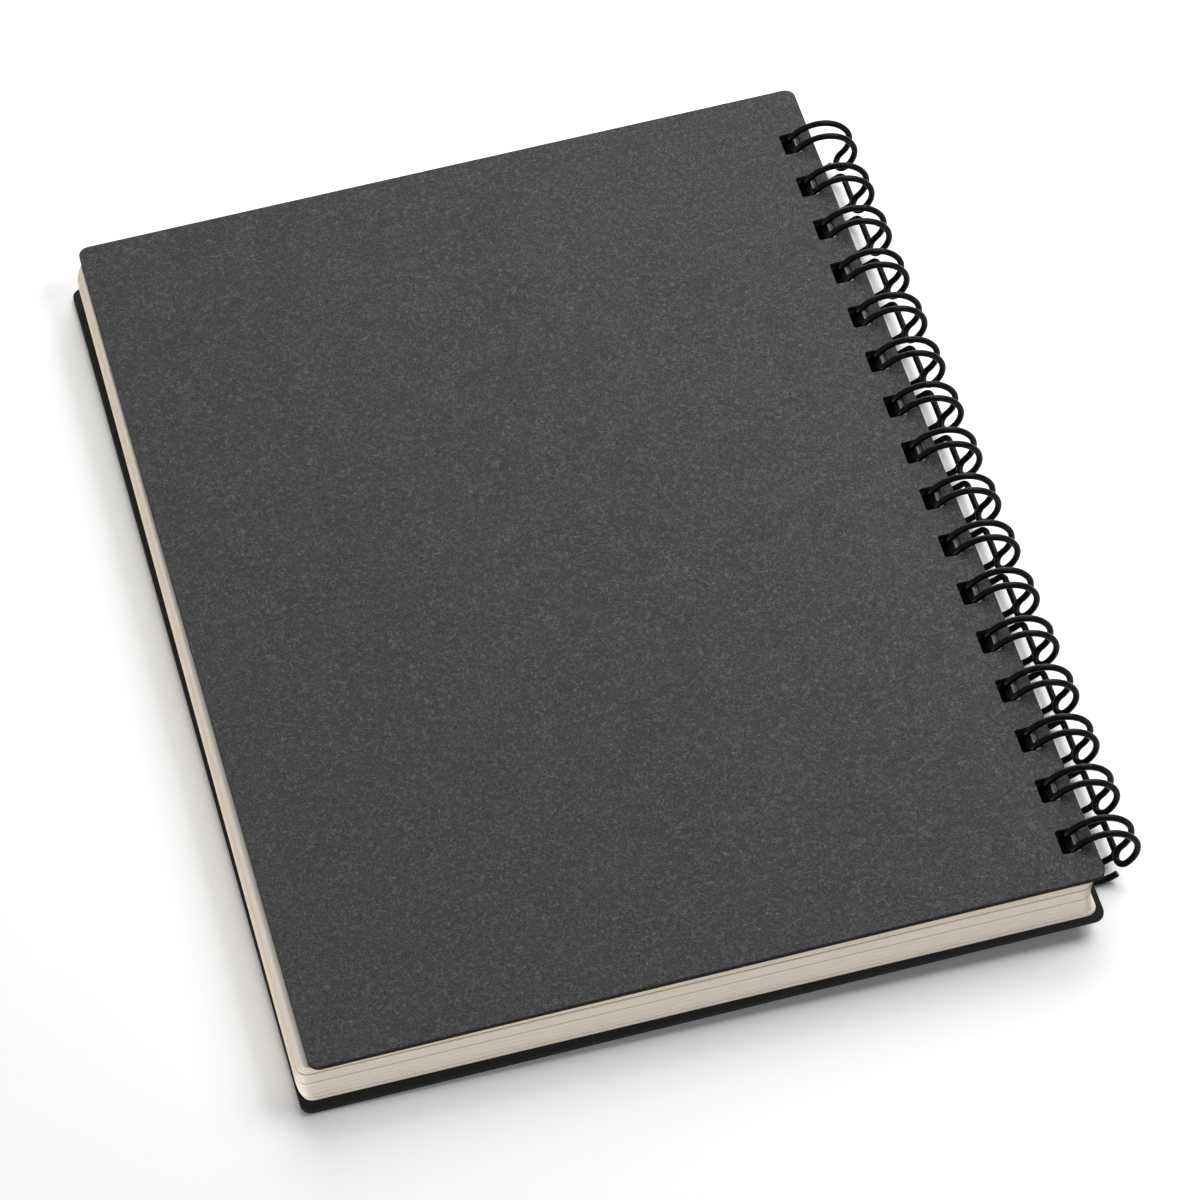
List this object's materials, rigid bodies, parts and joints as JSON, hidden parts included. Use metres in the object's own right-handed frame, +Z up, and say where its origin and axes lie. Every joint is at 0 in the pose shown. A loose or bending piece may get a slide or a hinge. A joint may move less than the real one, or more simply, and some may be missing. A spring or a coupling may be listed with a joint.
{
  "type": "spiral notebook",
  "caption": "Closed notebook lying flat: two dark grey board covers and cream leaves, with a black twin-loop wire binding along the long edge.",
  "frame": {"origin": "centre of the whole book's footprint, on the surface it lies on", "axes": "+X towards the wire along the spine edge, +Y along the spine from the near edge to the far edge, +Z up from the front cover to the back cover"},
  "size_m": [0.1642, 0.2192, 0.0153],
  "materials": {
    "cover_board": "matte",
    "paper": "matte",
    "coated_wire": "satin"
  },
  "bodies": {
    "leaves": {"page_block": "paper"},
    "back": {"back_cover": "cover_board"},
    "front": {"front_cover": "cover_board"},
    "binding": {"binding_wire": "coated_wire"}
  },
  "joints": [
    {"name": "back_cover_hinge", "type": "hinge", "parent": "leaves", "child": "back", "pos_m": [0.07393, 0, 0.00754], "axis": [0, 1, 0], "range_deg": [0, 115]},
    {"name": "front_cover_hinge", "type": "hinge", "parent": "leaves", "child": "front", "pos_m": [0.07393, 0, 0.00754], "axis": [0, -1, 0], "range_deg": [0, 70]},
    {"name": "wire_turn", "type": "hinge", "parent": "leaves", "child": "binding", "pos_m": [0.07393, 0, 0.00754], "axis": [0, -1, 0], "range_deg": [-10, 20]}
  ]
}
